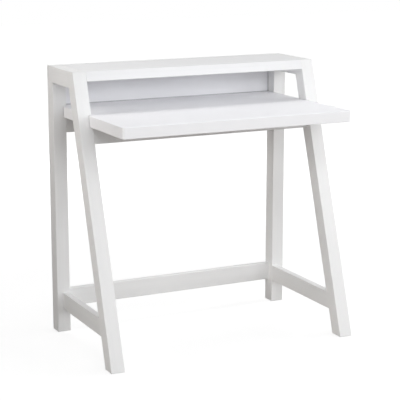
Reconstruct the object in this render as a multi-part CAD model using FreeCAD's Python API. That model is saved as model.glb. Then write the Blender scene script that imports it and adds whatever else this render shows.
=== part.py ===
import FreeCAD, Part
import math
import os

# Writing desk with two trestle side frames. Each frame has an upright rear leg, a front leg that
# slopes forward to the floor, a top rail and a low side rail. Between the frames sit a worktop
# housed in the legs, a raised rear shelf with a back panel, two aprons and a low rear stretcher.
# Millimetres, Z up, the front faces -Y. The origin is on the floor, under the middle of the desk.
# Depths are measured forward from the rear plane, where the rear legs' rear faces lie.

Vector = FreeCAD.Vector
UP = Vector(0, 0, 1)
RIGHT = Vector(1, 0, 0)
REAR = Vector(0, 1, 0)
SIDES = {"left": -1, "right": 1}

# Outline
overall_width = 850.0
overall_height = 880.0
overall_depth = 531.0

# Legs
leg_width = 44.0
leg_thickness = 48.0
front_leg_top_depth = 225.0
front_leg_foot_depth = 508.0
frame_edge_radius = 1.5

# Side frame rails
top_rail_height = 52.0
side_rail_thickness = 22.0
side_rail_height = 55.0
side_rail_bottom = 78.0
side_rail_inset = 1.5
rail_edge_radius = 1.5

# Worktop
worktop_thickness = 35.0
housing_depth = 9.0
housing_gap = 0.8
worktop_edge_radius = 2.0
worktop_corner_radius = 8.0

# Rear shelf
shelf_thickness = 30.0
shelf_opening_height = 100.0
shelf_edge_radius = 1.5

# Back panel
panel_thickness = 6.0
panel_lap = 12.0
panel_gap = 0.8

# Aprons under the worktop
apron_thickness = 22.0
apron_height = 54.0
front_apron_setback = 6.0
apron_edge_radius = 1.5

# Low rear stretcher
stretcher_thickness = 22.0
stretcher_height = 60.0
stretcher_bottom = 78.0

# Wooden dowels
dowel_radius = 4.0
frame_dowel_length = 40.0
cross_dowel_length = 30.0
dowel_chamfer = 0.8
dowel_fit = 0.1
dowel_end_gap = 1.0
frame_dowel_shares = (0.25, 0.75)
cross_dowel_shares = (0.22, 0.78)

# Cam connectors: a bolt screwed into the frame and a cam turned in the board
cam_radius = 7.4
cam_height = 12.0
cam_axis_depth = 8.0
cam_sink = 0.3
cam_fit = 0.1
cam_slot_fit = 0.4
cam_cross_length = 7.0
cam_cross_width = 1.4
cam_cross_depth = 2.0
bolt_reach = 34.0
bolt_thread_radius = 2.5
bolt_thread_length = 11.0
bolt_pin_radius = 3.0
bolt_neck_radius = 1.9
bolt_neck_length = 4.0
bolt_head_length = 3.0
bolt_fit = 0.05
bolt_end_gap = 1.0
shelf_cam_shares = (0.25, 0.75)

# Screws up through the aprons into the worktop
worktop_screw_radius = 2.2
worktop_screw_length = 50.0
worktop_screw_grip = 25.0
worktop_screw_head_radius = 4.2
worktop_screw_head_height = 2.6
worktop_screw_play = 0.4
worktop_screw_shares = (0.15, 0.5, 0.85)

# Screws through the back panel into the shelf and the worktop
panel_screw_radius = 1.5
panel_screw_length = 20.0
panel_screw_head_radius = 3.0
panel_screw_head_height = 1.8
panel_screw_shares = (0.06, 0.35, 0.65, 0.94)
screw_fit = 0.05
screw_end_gap = 1.0

# Floor glides and their nails
glide_radius = 10.0
glide_thickness = 2.0
glide_chamfer = 0.5
glide_recess_radius = 3.2
glide_recess_depth = 1.2
nail_radius = 1.3
nail_length = 16.0
nail_head_radius = 2.7
nail_head_height = 0.7
nail_fit = 0.05
nail_end_gap = 1.0

# How far a cut runs past the face that it opens
overrun = 5.0

# Edges count as parallel to a direction above this cosine
PARALLEL = 0.999

# Worked out from the sizes above
half_width = overall_width / 2
inner_half_width = half_width - leg_width
rear_plane = overall_depth / 2
leg_bottom = glide_thickness
front_leg_fall = front_leg_foot_depth - front_leg_top_depth
front_leg_lean = math.atan2(front_leg_fall, overall_height)
front_leg_section = leg_thickness / math.cos(front_leg_lean)
shelf_bottom = overall_height - shelf_thickness
worktop_top = shelf_bottom - shelf_opening_height
worktop_bottom = worktop_top - worktop_thickness
top_rail_bottom = overall_height - top_rail_height
apron_bottom = worktop_bottom - apron_height
side_rail_top = side_rail_bottom + side_rail_height
stretcher_top = stretcher_bottom + stretcher_height
cam_bore_depth = cam_height + 2 * cam_sink


def at_depth(depth):
    """Y of a plane this far in front of the rear plane."""
    return rear_plane - depth


def front_leg_front(height):
    """Depth of a front leg's front face at a height."""
    return front_leg_foot_depth - front_leg_fall * height / overall_height


def front_leg_rear(height):
    """Depth of a front leg's rear face at a height."""
    return front_leg_front(height) - front_leg_section


front_apron_front = front_leg_front(worktop_bottom) - front_apron_setback
front_apron_rear = front_apron_front - apron_thickness


def across(side, outer, inner):
    """Low and high X of a stretch given by its distances inward from a frame's outer face."""
    return sorted((side * (half_width - outer), side * (half_width - inner)))


def block(x_span, depth_span, z_span):
    """Rectangular solid between two X, two depths and two heights."""
    x_low, x_high = sorted(x_span)
    rear, front = sorted(depth_span)
    z_low, z_high = sorted(z_span)
    corner = Vector(x_low, at_depth(front), z_low)
    return Part.makeBox(x_high - x_low, front - rear, z_high - z_low, corner)


def prism(x_span, outline):
    """Solid with a side outline of (depth, height) points, carried across an X span."""
    x_low, x_high = x_span
    points = [Vector(x_low, at_depth(depth), height) for depth, height in outline]
    face = Part.Face(Part.makePolygon(points + points[:1]))
    return face.extrude(RIGHT * (x_high - x_low))


def edges_along(solid, direction):
    """Straight edges of a solid that run along a direction."""
    chosen = []
    for edge in solid.Edges:
        run = edge.Vertexes[-1].Point - edge.Vertexes[0].Point
        if run.Length > overrun and abs(run.dot(direction)) > PARALLEL * run.Length * direction.Length:
            chosen.append(edge)
    return chosen


def eased(solid, direction, radius):
    """The solid with its edges along one direction rounded."""
    return solid.makeFillet(radius, edges_along(solid, direction))


def carved(solid, cutters):
    """The solid less every cutter that reaches it."""
    for cutter in cutters:
        if solid.BoundBox.intersect(cutter.BoundBox):
            solid = solid.cut(cutter)
    return solid


def rod(radius, length, start, direction):
    """Round solid from a start point along a direction."""
    return Part.makeCylinder(radius, length, start, direction)


# Places of the dowels: points in the middle of each joint's plane


def frame_dowel_places(side):
    """Where the rails of one side frame meet its legs."""
    places = []
    leg_middle = side * (half_width - leg_width / 2)
    rail_middle = side * (inner_half_width + side_rail_inset + side_rail_thickness / 2)
    rails = [
        (leg_middle, top_rail_bottom, top_rail_height),
        (rail_middle, side_rail_bottom, side_rail_height),
    ]
    for x, bottom, tall in rails:
        for share in frame_dowel_shares:
            height = bottom + share * tall
            places.append(Vector(x, at_depth(leg_thickness), height))
            places.append(Vector(x, at_depth(front_leg_rear(height)), height))
    return places


def shelf_dowel_places(side):
    """Where the shelf's ends meet the two legs of one frame."""
    height = shelf_bottom + shelf_thickness / 2
    front_depth = front_leg_rear(height) + front_leg_section / 2
    depths = (leg_thickness / 2, front_depth)
    return [Vector(side * inner_half_width, at_depth(depth), height) for depth in depths]


def apron_dowel_places(side):
    """Where the two aprons' ends meet the legs of one frame."""
    places = []
    for depth in (apron_thickness / 2, front_apron_rear + apron_thickness / 2):
        for share in cross_dowel_shares:
            height = apron_bottom + share * apron_height
            places.append(Vector(side * inner_half_width, at_depth(depth), height))
    return places


def stretcher_dowel_places(side):
    """Where the stretcher's end meets the rear leg of one frame."""
    places = []
    for share in cross_dowel_shares:
        height = stretcher_bottom + share * stretcher_height
        places.append(Vector(side * inner_half_width, at_depth(stretcher_thickness / 2), height))
    return places


def cross_dowel_places(side):
    """All dowels between one frame and the boards that cross the desk."""
    return shelf_dowel_places(side) + apron_dowel_places(side) + stretcher_dowel_places(side)


def dowel(place, direction, length):
    """Chamfered dowel centred on a joint."""
    body = rod(dowel_radius, length, place - direction * (length / 2), direction)
    rims = [edge for edge in body.Edges if edge.Closed]
    return body.makeChamfer(dowel_chamfer, rims)


def dowel_bore(place, direction, length):
    """Hole for a dowel, longer than it by the end gaps."""
    bore_length = length + 2 * dowel_end_gap
    start = place - direction * (bore_length / 2)
    return rod(dowel_radius + dowel_fit, bore_length, start, direction)


def frame_dowels(side):
    return [dowel(place, REAR, frame_dowel_length) for place in frame_dowel_places(side)]


def frame_dowel_bores(side):
    return [dowel_bore(place, REAR, frame_dowel_length) for place in frame_dowel_places(side)]


def cross_dowels(places):
    return [dowel(place, RIGHT, cross_dowel_length) for place in places]


def cross_dowel_bores(side):
    return [dowel_bore(place, RIGHT, cross_dowel_length) for place in cross_dowel_places(side)]


# Cam connectors: each is the point where its bolt leaves the frame, and the way its cam faces


def shelf_cam_joints(side):
    """Connectors between the shelf and one top rail, with the cams in the shelf's underside."""
    height = shelf_bottom + cam_axis_depth
    length = front_leg_rear(height) - leg_thickness
    joints = []
    for share in shelf_cam_shares:
        depth = leg_thickness + share * length
        joints.append((Vector(side * inner_half_width, at_depth(depth), height), -UP))
    return joints


def apron_cam_joints(side):
    """Connectors between the aprons and one frame, with the cams in the aprons' rear faces."""
    height = apron_bottom + apron_height / 2
    joints = []
    for rear_face in (0, front_apron_rear):
        depth = rear_face + cam_axis_depth
        joints.append((Vector(side * inner_half_width, at_depth(depth), height), REAR))
    return joints


def stretcher_cam_joints(side):
    """Connector between the stretcher and one rear leg, with the cam in the rear face."""
    height = stretcher_bottom + stretcher_height / 2
    return [(Vector(side * inner_half_width, at_depth(cam_axis_depth), height), REAR)]


def cam_joints(side):
    """All cam connectors of one frame."""
    return shelf_cam_joints(side) + apron_cam_joints(side) + stretcher_cam_joints(side)


def inward(side):
    """Direction from a frame towards the middle of the desk."""
    return RIGHT * -side


def cam_bolt(side, joint):
    """Bolt with a thread in the frame, a pin and neck in the board and a head in the cam."""
    start, facing = joint
    inside = inward(side)
    pin_length = bolt_reach - bolt_neck_length - bolt_head_length / 2
    thread = rod(bolt_thread_radius, bolt_thread_length, start, -inside)
    pin = rod(bolt_pin_radius, pin_length, start, inside)
    neck_start = start + inside * pin_length
    neck = rod(bolt_neck_radius, bolt_neck_length, neck_start, inside)
    head = rod(bolt_pin_radius, bolt_head_length, neck_start + inside * bolt_neck_length, inside)
    return thread.fuse([pin, neck, head]).removeSplitter()


def cam(side, joint):
    """Round cam with a bore that takes the bolt's head and a cross for the driver."""
    start, facing = joint
    middle = start + inward(side) * bolt_reach
    top = middle + facing * (cam_axis_depth - cam_sink)
    body = rod(cam_radius, cam_height, top, -facing)
    slot_length = cam_radius + bolt_head_length
    slot_start = middle - inward(side) * cam_radius
    slot = rod(bolt_pin_radius + cam_slot_fit, slot_length, slot_start, inward(side))
    across_way = facing.cross(RIGHT)
    arms = []
    for long_way, short_way in ((RIGHT, across_way), (across_way, RIGHT)):
        arms.append(cross_arm(top, long_way, short_way, facing))
    return carved(body, [slot] + arms)


def cross_arm(top, long_way, short_way, facing):
    """One bar of a cam's driver cross, cut from the cam's face."""
    half_long = long_way * (cam_cross_length / 2)
    half_short = short_way * (cam_cross_width / 2)
    floor = top - facing * cam_cross_depth
    corners = [
        floor - half_long - half_short,
        floor + half_long - half_short,
        floor + half_long + half_short,
        floor - half_long + half_short,
    ]
    face = Part.Face(Part.makePolygon(corners + corners[:1]))
    return face.extrude(facing * (cam_cross_depth + overrun))


def bolt_bores(side):
    """Holes in a frame for the bolts' threads."""
    bores = []
    for start, facing in cam_joints(side):
        depth = bolt_thread_length + bolt_end_gap
        mouth = start + inward(side) * overrun
        bores.append(rod(bolt_thread_radius + bolt_fit, depth + overrun, mouth, -inward(side)))
    return bores


def cam_bores(side, joints):
    """Holes in a board for bolts' pins and for their cams."""
    bores = []
    for start, facing in joints:
        middle = start + inward(side) * bolt_reach
        bores.append(rod(bolt_pin_radius + cam_slot_fit, bolt_reach + bolt_head_length,
                         start, inward(side)))
        mouth = middle + facing * (cam_axis_depth + overrun)
        bores.append(rod(cam_radius + cam_fit, cam_bore_depth + overrun, mouth, -facing))
    return bores


# Screws


def worktop_screw_places():
    """Points on the aprons' upper edges where the screws enter the worktop."""
    places = []
    for rear_face in (0, front_apron_rear):
        depth = rear_face + apron_thickness / 2
        for share in worktop_screw_shares:
            x = inner_half_width * (2 * share - 1)
            places.append(Vector(x, at_depth(depth), worktop_bottom))
    return places


def worktop_screw(place):
    """Round-headed screw that stands on the counterbore's floor inside an apron."""
    seat = place - UP * worktop_screw_grip
    shank = rod(worktop_screw_radius, worktop_screw_length, seat, UP)
    head = rod(worktop_screw_head_radius, worktop_screw_head_height, seat, -UP)
    return shank.fuse(head).removeSplitter()


def worktop_screw_bores():
    """Stepped holes for the screws, through the aprons and into the worktop."""
    bores = []
    for place in worktop_screw_places():
        seat = place - UP * worktop_screw_grip
        counterbore_depth = apron_height - worktop_screw_grip + overrun
        bores.append(rod(worktop_screw_head_radius + worktop_screw_play, counterbore_depth, seat, -UP))
        bores.append(rod(worktop_screw_radius + screw_fit, worktop_screw_length + screw_end_gap, seat, UP))
    return bores


def panel_screw_places():
    """Points on the rear plane, over the laps behind the shelf and the worktop."""
    places = []
    for height in (worktop_top - panel_lap / 2, shelf_bottom + panel_lap / 2):
        for share in panel_screw_shares:
            x = inner_half_width * (2 * share - 1)
            places.append(Vector(x, at_depth(0), height))
    return places


def panel_screw(place, fit=0, end_gap=0):
    """Countersunk screw driven forward from the rear plane, or the hole that it fills."""
    shank = rod(panel_screw_radius + fit, panel_screw_length + end_gap, place, -REAR)
    head = Part.makeCone(panel_screw_head_radius + fit, panel_screw_radius + fit,
                         panel_screw_head_height, place, -REAR)
    return shank.fuse(head).removeSplitter()


def panel_screw_bores():
    return [panel_screw(place, screw_fit, screw_end_gap) for place in panel_screw_places()]


# Floor glides


def foot_places(side):
    """Floor points under the middles of one frame's two feet."""
    x = side * (half_width - leg_width / 2)
    front_depth = front_leg_rear(leg_bottom) + front_leg_section / 2
    return [Vector(x, at_depth(depth), 0) for depth in (leg_thickness / 2, front_depth)]


def glide(place):
    """Round plastic pad with a recess for the nail's head."""
    pad = rod(glide_radius, glide_thickness, place, UP)
    lower_rim = [edge for edge in pad.Edges if edge.Closed and edge.CenterOfMass.z < glide_chamfer]
    pad = pad.makeChamfer(glide_chamfer, lower_rim)
    recess = rod(glide_recess_radius, glide_recess_depth + overrun, place - UP * overrun, UP)
    hole = rod(nail_radius + nail_fit, glide_thickness + overrun, place, UP)
    return carved(pad, [recess, hole])


def glide_nail(place):
    """Nail through a glide into the end of a leg."""
    seat = place + UP * glide_recess_depth
    head = rod(nail_head_radius, nail_head_height, seat, -UP)
    return rod(nail_radius, nail_length, seat, UP).fuse(head).removeSplitter()


def nail_bores(side):
    """Holes for the nails in one frame's feet."""
    depth = glide_recess_depth + nail_length + nail_end_gap
    return [rod(nail_radius + nail_fit, depth, place, UP) for place in foot_places(side)]


# Boards and frame members


def worktop_housing(side):
    """Slot in the inner faces of one frame's legs for the worktop's end."""
    x_span = across(side, leg_width - housing_depth, leg_width + overrun)
    heights = (worktop_bottom, worktop_top + housing_gap)
    return block(x_span, (-overrun, overall_depth + overrun), heights)


def panel_rebate(side):
    """Rebate down the inner rear edge of one rear leg for the back panel's end."""
    x_span = across(side, leg_width - housing_depth, leg_width + overrun)
    heights = (worktop_top - panel_lap, shelf_bottom + panel_lap)
    return block(x_span, (-overrun, panel_thickness + panel_gap), heights)


def leg_cuts(side):
    """Everything that is cut out of one frame's legs and rails."""
    bores = frame_dowel_bores(side) + cross_dowel_bores(side) + bolt_bores(side) + nail_bores(side)
    return bores + [worktop_housing(side)]


def between_legs(x_span, bottom, top):
    """Level prism from the rear leg to the slope of the front leg."""
    outline = [
        (leg_thickness, bottom),
        (front_leg_rear(bottom), bottom),
        (front_leg_rear(top), top),
        (leg_thickness, top),
    ]
    return prism(x_span, outline)


def side_frame(side):
    """Legs and top rail of one frame as glued up, with the edges eased over the joints."""
    x_span = across(side, 0, leg_width)
    rear = block(x_span, (0, leg_thickness), (leg_bottom, overall_height))
    outline = [
        (front_leg_front(leg_bottom), leg_bottom),
        (front_leg_rear(leg_bottom), leg_bottom),
        (front_leg_rear(overall_height), overall_height),
        (front_leg_front(overall_height), overall_height),
    ]
    rail = between_legs(x_span, top_rail_bottom, overall_height)
    frame = rear.fuse([prism(x_span, outline), rail]).removeSplitter()
    rims = []
    for edge in frame.Edges:
        box = edge.BoundBox
        crosses = box.XLength > overrun
        at_top = box.ZMin > overall_height - overrun
        at_foot = box.ZMax < leg_bottom + overrun
        if at_top or not (crosses or at_foot):
            rims.append(edge)
    return frame.makeFillet(frame_edge_radius, rims)


def rear_leg(side):
    """Upright leg over the full height."""
    slab = block((-half_width - overrun, half_width + overrun), (-overrun, leg_thickness),
                 (-overrun, overall_height + overrun))
    return carved(side_frame(side).common(slab), leg_cuts(side) + [panel_rebate(side)])


def front_leg(side):
    """Sloping leg, cut level at the foot and at the top."""
    low = -overrun
    high = overall_height + overrun
    outline = [
        (front_leg_front(low) + overrun, low),
        (front_leg_rear(low), low),
        (front_leg_rear(high), high),
        (front_leg_front(high) + overrun, high),
    ]
    slab = prism((-half_width - overrun, half_width + overrun), outline)
    return carved(side_frame(side).common(slab), leg_cuts(side))


def top_rail(side):
    """Rail as wide as the legs, level with their tops."""
    x_span = (-half_width - overrun, half_width + overrun)
    slab = between_legs(x_span, top_rail_bottom - overrun, overall_height + overrun)
    rail = side_frame(side).common(slab)
    return carved(rail, leg_cuts(side))


def side_rail(side):
    """Thin low rail, set just behind the legs' inner faces."""
    inner = leg_width - side_rail_inset
    x_span = across(side, inner - side_rail_thickness, inner)
    rail = between_legs(x_span, side_rail_bottom, side_rail_top)
    return carved(eased(rail, REAR, rail_edge_radius), leg_cuts(side))


def worktop():
    """Thick board whose ends stand in the legs' housings and which projects in front of them."""
    reach = inner_half_width + housing_depth - housing_gap
    blank = block((-reach, reach), (0, overall_depth), (worktop_bottom, worktop_top))
    rebate = block((-reach - overrun, reach + overrun), (-overrun, panel_thickness + panel_gap),
                   (worktop_top - panel_lap, worktop_top + overrun))
    blank = blank.cut(rebate)
    front_y = at_depth(overall_depth)
    corners = [edge for edge in edges_along(blank, UP) if edge.BoundBox.YMin < front_y + overrun]
    blank = blank.makeFillet(worktop_corner_radius, corners)
    rounded = []
    for edge in edges_along(blank, RIGHT) + edges_along(blank, REAR):
        box = edge.BoundBox
        if box.YMin < front_y + worktop_corner_radius + overrun or box.ZMin > worktop_top - overrun:
            rounded.append(edge)
    blank = blank.makeFillet(worktop_edge_radius, rounded)
    return carved(blank, worktop_screw_bores() + panel_screw_bores())


def shelf():
    """Board between the top rails, with its front face in line with the legs' front faces."""
    outline = [
        (0, shelf_bottom),
        (front_leg_front(shelf_bottom), shelf_bottom),
        (front_leg_front(overall_height), overall_height),
        (0, overall_height),
    ]
    blank = prism((-inner_half_width, inner_half_width), outline)
    eased_edges = []
    for edge in edges_along(blank, RIGHT):
        middle = edge.CenterOfMass
        if middle.y < at_depth(leg_thickness) or middle.z > shelf_bottom + panel_lap:
            eased_edges.append(edge)
    blank = blank.makeFillet(shelf_edge_radius, eased_edges)
    rebate = block((-half_width, half_width), (-overrun, panel_thickness + panel_gap),
                   (shelf_bottom - overrun, shelf_bottom + panel_lap))
    cutters = [rebate] + panel_screw_bores()
    for side in SIDES.values():
        cutters += cross_dowel_bores(side) + cam_bores(side, shelf_cam_joints(side))
    return carved(blank, cutters)


def back_panel():
    """Thin panel let into the rear of the legs, the shelf and the worktop."""
    reach = inner_half_width + housing_depth - panel_gap
    heights = (worktop_top - panel_lap + panel_gap, shelf_bottom + panel_lap - panel_gap)
    return carved(block((-reach, reach), (0, panel_thickness), heights), panel_screw_bores())


def cross_board(depth_span, z_span, joints_of):
    """Board from frame to frame, with its dowel and cam holes."""
    blank = block((-inner_half_width, inner_half_width), depth_span, z_span)
    blank = eased(blank, RIGHT, apron_edge_radius)
    cutters = worktop_screw_bores()
    for side in SIDES.values():
        cutters += cross_dowel_bores(side) + cam_bores(side, joints_of(side))
    return carved(blank, cutters)


def front_apron():
    span = (front_apron_rear, front_apron_front)
    return cross_board(span, (apron_bottom, worktop_bottom), apron_cam_joints)


def rear_apron():
    return cross_board((0, apron_thickness), (apron_bottom, worktop_bottom), apron_cam_joints)


def rear_stretcher():
    span = (0, stretcher_thickness)
    return cross_board(span, (stretcher_bottom, stretcher_top), stretcher_cam_joints)


def both_sides(make):
    """The solids that a maker gives for the left frame and for the right one."""
    solids = []
    for side in SIDES.values():
        solids += make(side)
    return solids


def desk_nodes():
    """Every node of the desk, as a name and its list of solids."""
    nodes = {}
    for name, side in SIDES.items():
        nodes[name + "_rear_leg"] = [rear_leg(side)]
        nodes[name + "_front_leg"] = [front_leg(side)]
        nodes[name + "_top_rail"] = [top_rail(side)]
        nodes[name + "_side_rail"] = [side_rail(side)]
        nodes[name + "_frame_dowels"] = frame_dowels(side)
    nodes["worktop"] = [worktop()]
    nodes["rear_shelf"] = [shelf()]
    nodes["back_panel"] = [back_panel()]
    nodes["front_apron"] = [front_apron()]
    nodes["rear_apron"] = [rear_apron()]
    nodes["rear_stretcher"] = [rear_stretcher()]
    crossings = {
        "shelf": (shelf_dowel_places, shelf_cam_joints),
        "apron": (apron_dowel_places, apron_cam_joints),
        "stretcher": (stretcher_dowel_places, stretcher_cam_joints),
    }
    for name, (places_of, joints_of) in crossings.items():
        nodes[name + "_dowels"] = cross_dowels(both_sides(places_of))
        nodes[name + "_cam_bolts"] = both_sides(lambda side: [cam_bolt(side, j) for j in joints_of(side)])
        nodes[name + "_cams"] = both_sides(lambda side: [cam(side, j) for j in joints_of(side)])
    nodes["worktop_screws"] = [worktop_screw(place) for place in worktop_screw_places()]
    nodes["panel_screws"] = [panel_screw(place) for place in panel_screw_places()]
    nodes["foot_glides"] = [glide(place) for place in both_sides(foot_places)]
    nodes["glide_nails"] = [glide_nail(place) for place in both_sides(foot_places)]
    return nodes


def main():
    os.makedirs("parts", exist_ok=True)
    for name, solids in desk_nodes().items():
        for solid in solids:
            if not solid.isValid() or len(solid.Solids) != 1:
                raise ValueError("bad solid in " + name)
        shape = solids[0] if len(solids) == 1 else Part.makeCompound(solids)
        shape.exportStep("parts/" + name + ".step")
        box = shape.BoundBox
        print(name, len(solids), round(shape.Volume), [round(v, 1) for v in (
            box.XMin, box.XMax, box.YMin, box.YMax, box.ZMin, box.ZMax)])


main()
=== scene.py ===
import collections
import math

import bmesh
import bpy
from bpy.props import FloatProperty, FloatVectorProperty, PointerProperty
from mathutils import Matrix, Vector


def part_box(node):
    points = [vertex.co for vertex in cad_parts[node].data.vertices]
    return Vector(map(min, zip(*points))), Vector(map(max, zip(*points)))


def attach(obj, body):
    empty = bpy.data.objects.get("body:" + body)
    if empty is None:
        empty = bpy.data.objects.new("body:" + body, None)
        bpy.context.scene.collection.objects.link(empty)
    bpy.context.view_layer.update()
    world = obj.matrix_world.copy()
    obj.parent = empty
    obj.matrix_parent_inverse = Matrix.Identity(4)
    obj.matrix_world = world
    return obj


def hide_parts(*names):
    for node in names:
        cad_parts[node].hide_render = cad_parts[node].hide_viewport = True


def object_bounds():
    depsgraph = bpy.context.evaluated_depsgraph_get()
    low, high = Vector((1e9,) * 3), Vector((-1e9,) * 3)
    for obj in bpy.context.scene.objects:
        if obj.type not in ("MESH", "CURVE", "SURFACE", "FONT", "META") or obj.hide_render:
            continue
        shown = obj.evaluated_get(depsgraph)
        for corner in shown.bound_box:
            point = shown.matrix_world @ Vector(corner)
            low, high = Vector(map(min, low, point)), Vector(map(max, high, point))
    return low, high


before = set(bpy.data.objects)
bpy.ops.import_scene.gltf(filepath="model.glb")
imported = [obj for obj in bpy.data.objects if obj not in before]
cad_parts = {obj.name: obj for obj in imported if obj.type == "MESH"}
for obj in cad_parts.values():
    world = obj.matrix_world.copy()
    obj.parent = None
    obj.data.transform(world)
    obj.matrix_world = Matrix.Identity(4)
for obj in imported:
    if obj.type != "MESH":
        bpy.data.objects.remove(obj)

bl_info = {
    "name": "Writing Desk",
    "version": (1, 0, 0),
    "blender": (4, 5, 0),
    "location": "View3D > Sidebar > Desk",
    "description": "Paints and fits out a writing desk with two sloping side frames",
    "category": "Object",
}

# The desk has no moving parts, so every piece belongs to its one body
BODY = "root"

# Boards by the way their grain runs
UPRIGHT_BOARDS = ("left_rear_leg", "right_rear_leg")
SLOPING_BOARDS = ("left_front_leg", "right_front_leg")
DEEP_BOARDS = ("left_top_rail", "right_top_rail", "left_side_rail", "right_side_rail")
WIDE_BOARDS = ("front_apron", "rear_apron", "rear_stretcher")
DOWELS = ("left_frame_dowels", "right_frame_dowels", "shelf_dowels", "apron_dowels", "stretcher_dowels")
CAM_BOLTS = ("shelf_cam_bolts", "apron_cam_bolts", "stretcher_cam_bolts")
CAMS = ("shelf_cams", "apron_cams", "stretcher_cams")

DESK_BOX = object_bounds()
RAIL_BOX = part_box("left_top_rail")

RIGHT = (1.0, 0.0, 0.0)
REAR = (0.0, 1.0, 0.0)
UP = (0.0, 0.0, 1.0)
DOWN = (0.0, 0.0, -1.0)

# Turns that lay a board's own length along the grain's local Z
ALONG_X = (0.0, math.pi / 2, 0.0)
ALONG_Y = (math.pi / 2, 0.0, 0.0)
ALONG_Z = (0.0, 0.0, 0.0)

# A depth that is farther back than any piece
BEHIND_THE_DESK = 1.0

# A line that the paint shows where two pieces meet, on a plane, between two heights and not behind a depth: a
# faint hairline at a glued joint, or painted shade in a gap between pieces
Joint = collections.namedtuple("Joint", "point normal lowest highest width darkness rearmost",
                               defaults=(BEHIND_THE_DESK,))

# Width of each kind of joint line, and how dark it is; the panel and housing lines are painted shade in the
# gaps
GLUED = (0.0004, 0.18)
PANEL_GAP_SHADE = (0.0038, 0.8)
HOUSING_GAP_SHADE = (0.003, 0.6)

# Tones that dust, wear and joints give to the paint, and how much of the first two shows; the joint tone is
# also the painted shade in the gaps
DUST_TONE = (0.62, 0.6, 0.56, 1.0)
DUST_SHARE = 0.05
WORN_TONE = (0.72, 0.69, 0.63, 1.0)
WEAR_SHARE = 0.05
JOINT_AND_GAP_SHADE_TONE = (0.34, 0.33, 0.34, 1.0)

# How far the paint's roughness wanders, and what dust adds to it
SHEEN_SPAN = 0.12
DUST_ROUGHNESS = 0.08

# How much of the grain each board's paint lets through
FRAME_STREAKS = 1.0
SHELF_STREAKS = 0.45
WORKTOP_STREAKS = 0.3
PANEL_STREAKS = 0.2


# Node helpers


# Spacing of the nodes in the editor
NODE_WIDTH = 180
NODE_DROP = 260
NODES_IN_A_ROW = 12

# Places of a Mix node's colour sockets
FIRST_COLOUR, SECOND_COLOUR = 6, 7
MIXED_COLOUR = 2


class Wiring:
    """Places nodes in a tree and joins their sockets."""

    def __init__(self, tree):
        self.tree = tree
        self.count = 0

    def add(self, kind, settings=None, **inputs):
        """One node, with its properties set and its inputs given as values or as sockets."""
        node = self.tree.nodes.new(kind)
        self.count += 1
        row, column = divmod(self.count, NODES_IN_A_ROW)
        node.location = (NODE_WIDTH * column, -NODE_DROP * row)
        for name, value in (settings or {}).items():
            setattr(node, name, value)
        for name, value in inputs.items():
            self.feed(node.inputs[name.replace("_", " ")], value)
        return node

    def feed(self, socket, value):
        """Links a socket, or sets its plain value."""
        if isinstance(value, bpy.types.NodeSocket):
            self.tree.links.new(value, socket)
        else:
            socket.default_value = value

    def math(self, operation, first, second=0.0, third=None, clamp=False):
        """Result of one Math node."""
        node = self.add("ShaderNodeMath", {"operation": operation, "use_clamp": clamp})
        self.feed(node.inputs[0], first)
        self.feed(node.inputs[1], second)
        if third is not None:
            self.feed(node.inputs[2], third)
        return node.outputs[0]

    def vector(self, operation, first, second=None):
        """Result of one Vector Math node."""
        node = self.add("ShaderNodeVectorMath", {"operation": operation})
        self.feed(node.inputs[0], first)
        if second is not None:
            self.feed(node.inputs[1], second)
        return node.outputs["Value"] if operation == "DOT_PRODUCT" else node.outputs["Vector"]

    def noise(self, vector, scale, detail=2.0, roughness=0.5):
        """Value of one Noise Texture, from 0 to 1."""
        node = self.add("ShaderNodeTexNoise", Vector=vector, Scale=scale, Detail=detail,
                        Roughness=roughness)
        return node.outputs["Fac"]

    def mix(self, factor, first, second):
        """Colour between two colours."""
        node = self.add("ShaderNodeMix", {"data_type": "RGBA"})
        self.feed(node.inputs["Factor"], factor)
        self.feed(node.inputs[FIRST_COLOUR], first)
        self.feed(node.inputs[SECOND_COLOUR], second)
        return node.outputs[MIXED_COLOUR]

    def vary(self, mask, middle, span):
        """A value that a mask from 0 to 1 moves over a span round a middle."""
        return self.math("MULTIPLY_ADD", mask, span, middle - span / 2)


def effect_group(name, inputs, outputs):
    """Wiring of a new shader node group with named sockets, and what its input and output nodes offer."""
    group = bpy.data.node_groups.new(name, "ShaderNodeTree")
    for label, kind, value in inputs:
        socket = group.interface.new_socket(label, in_out="INPUT", socket_type=kind)
        if value is not None:
            socket.default_value = value
    for label, kind in outputs:
        group.interface.new_socket(label, in_out="OUTPUT", socket_type=kind)
    wiring = Wiring(group)
    return wiring, wiring.add("NodeGroupInput").outputs, wiring.add("NodeGroupOutput").inputs


def effect(name):
    """A shared shader node group, built the first time that it is asked for."""
    if name not in bpy.data.node_groups:
        EFFECTS[name]()
    return bpy.data.node_groups[name]


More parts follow.
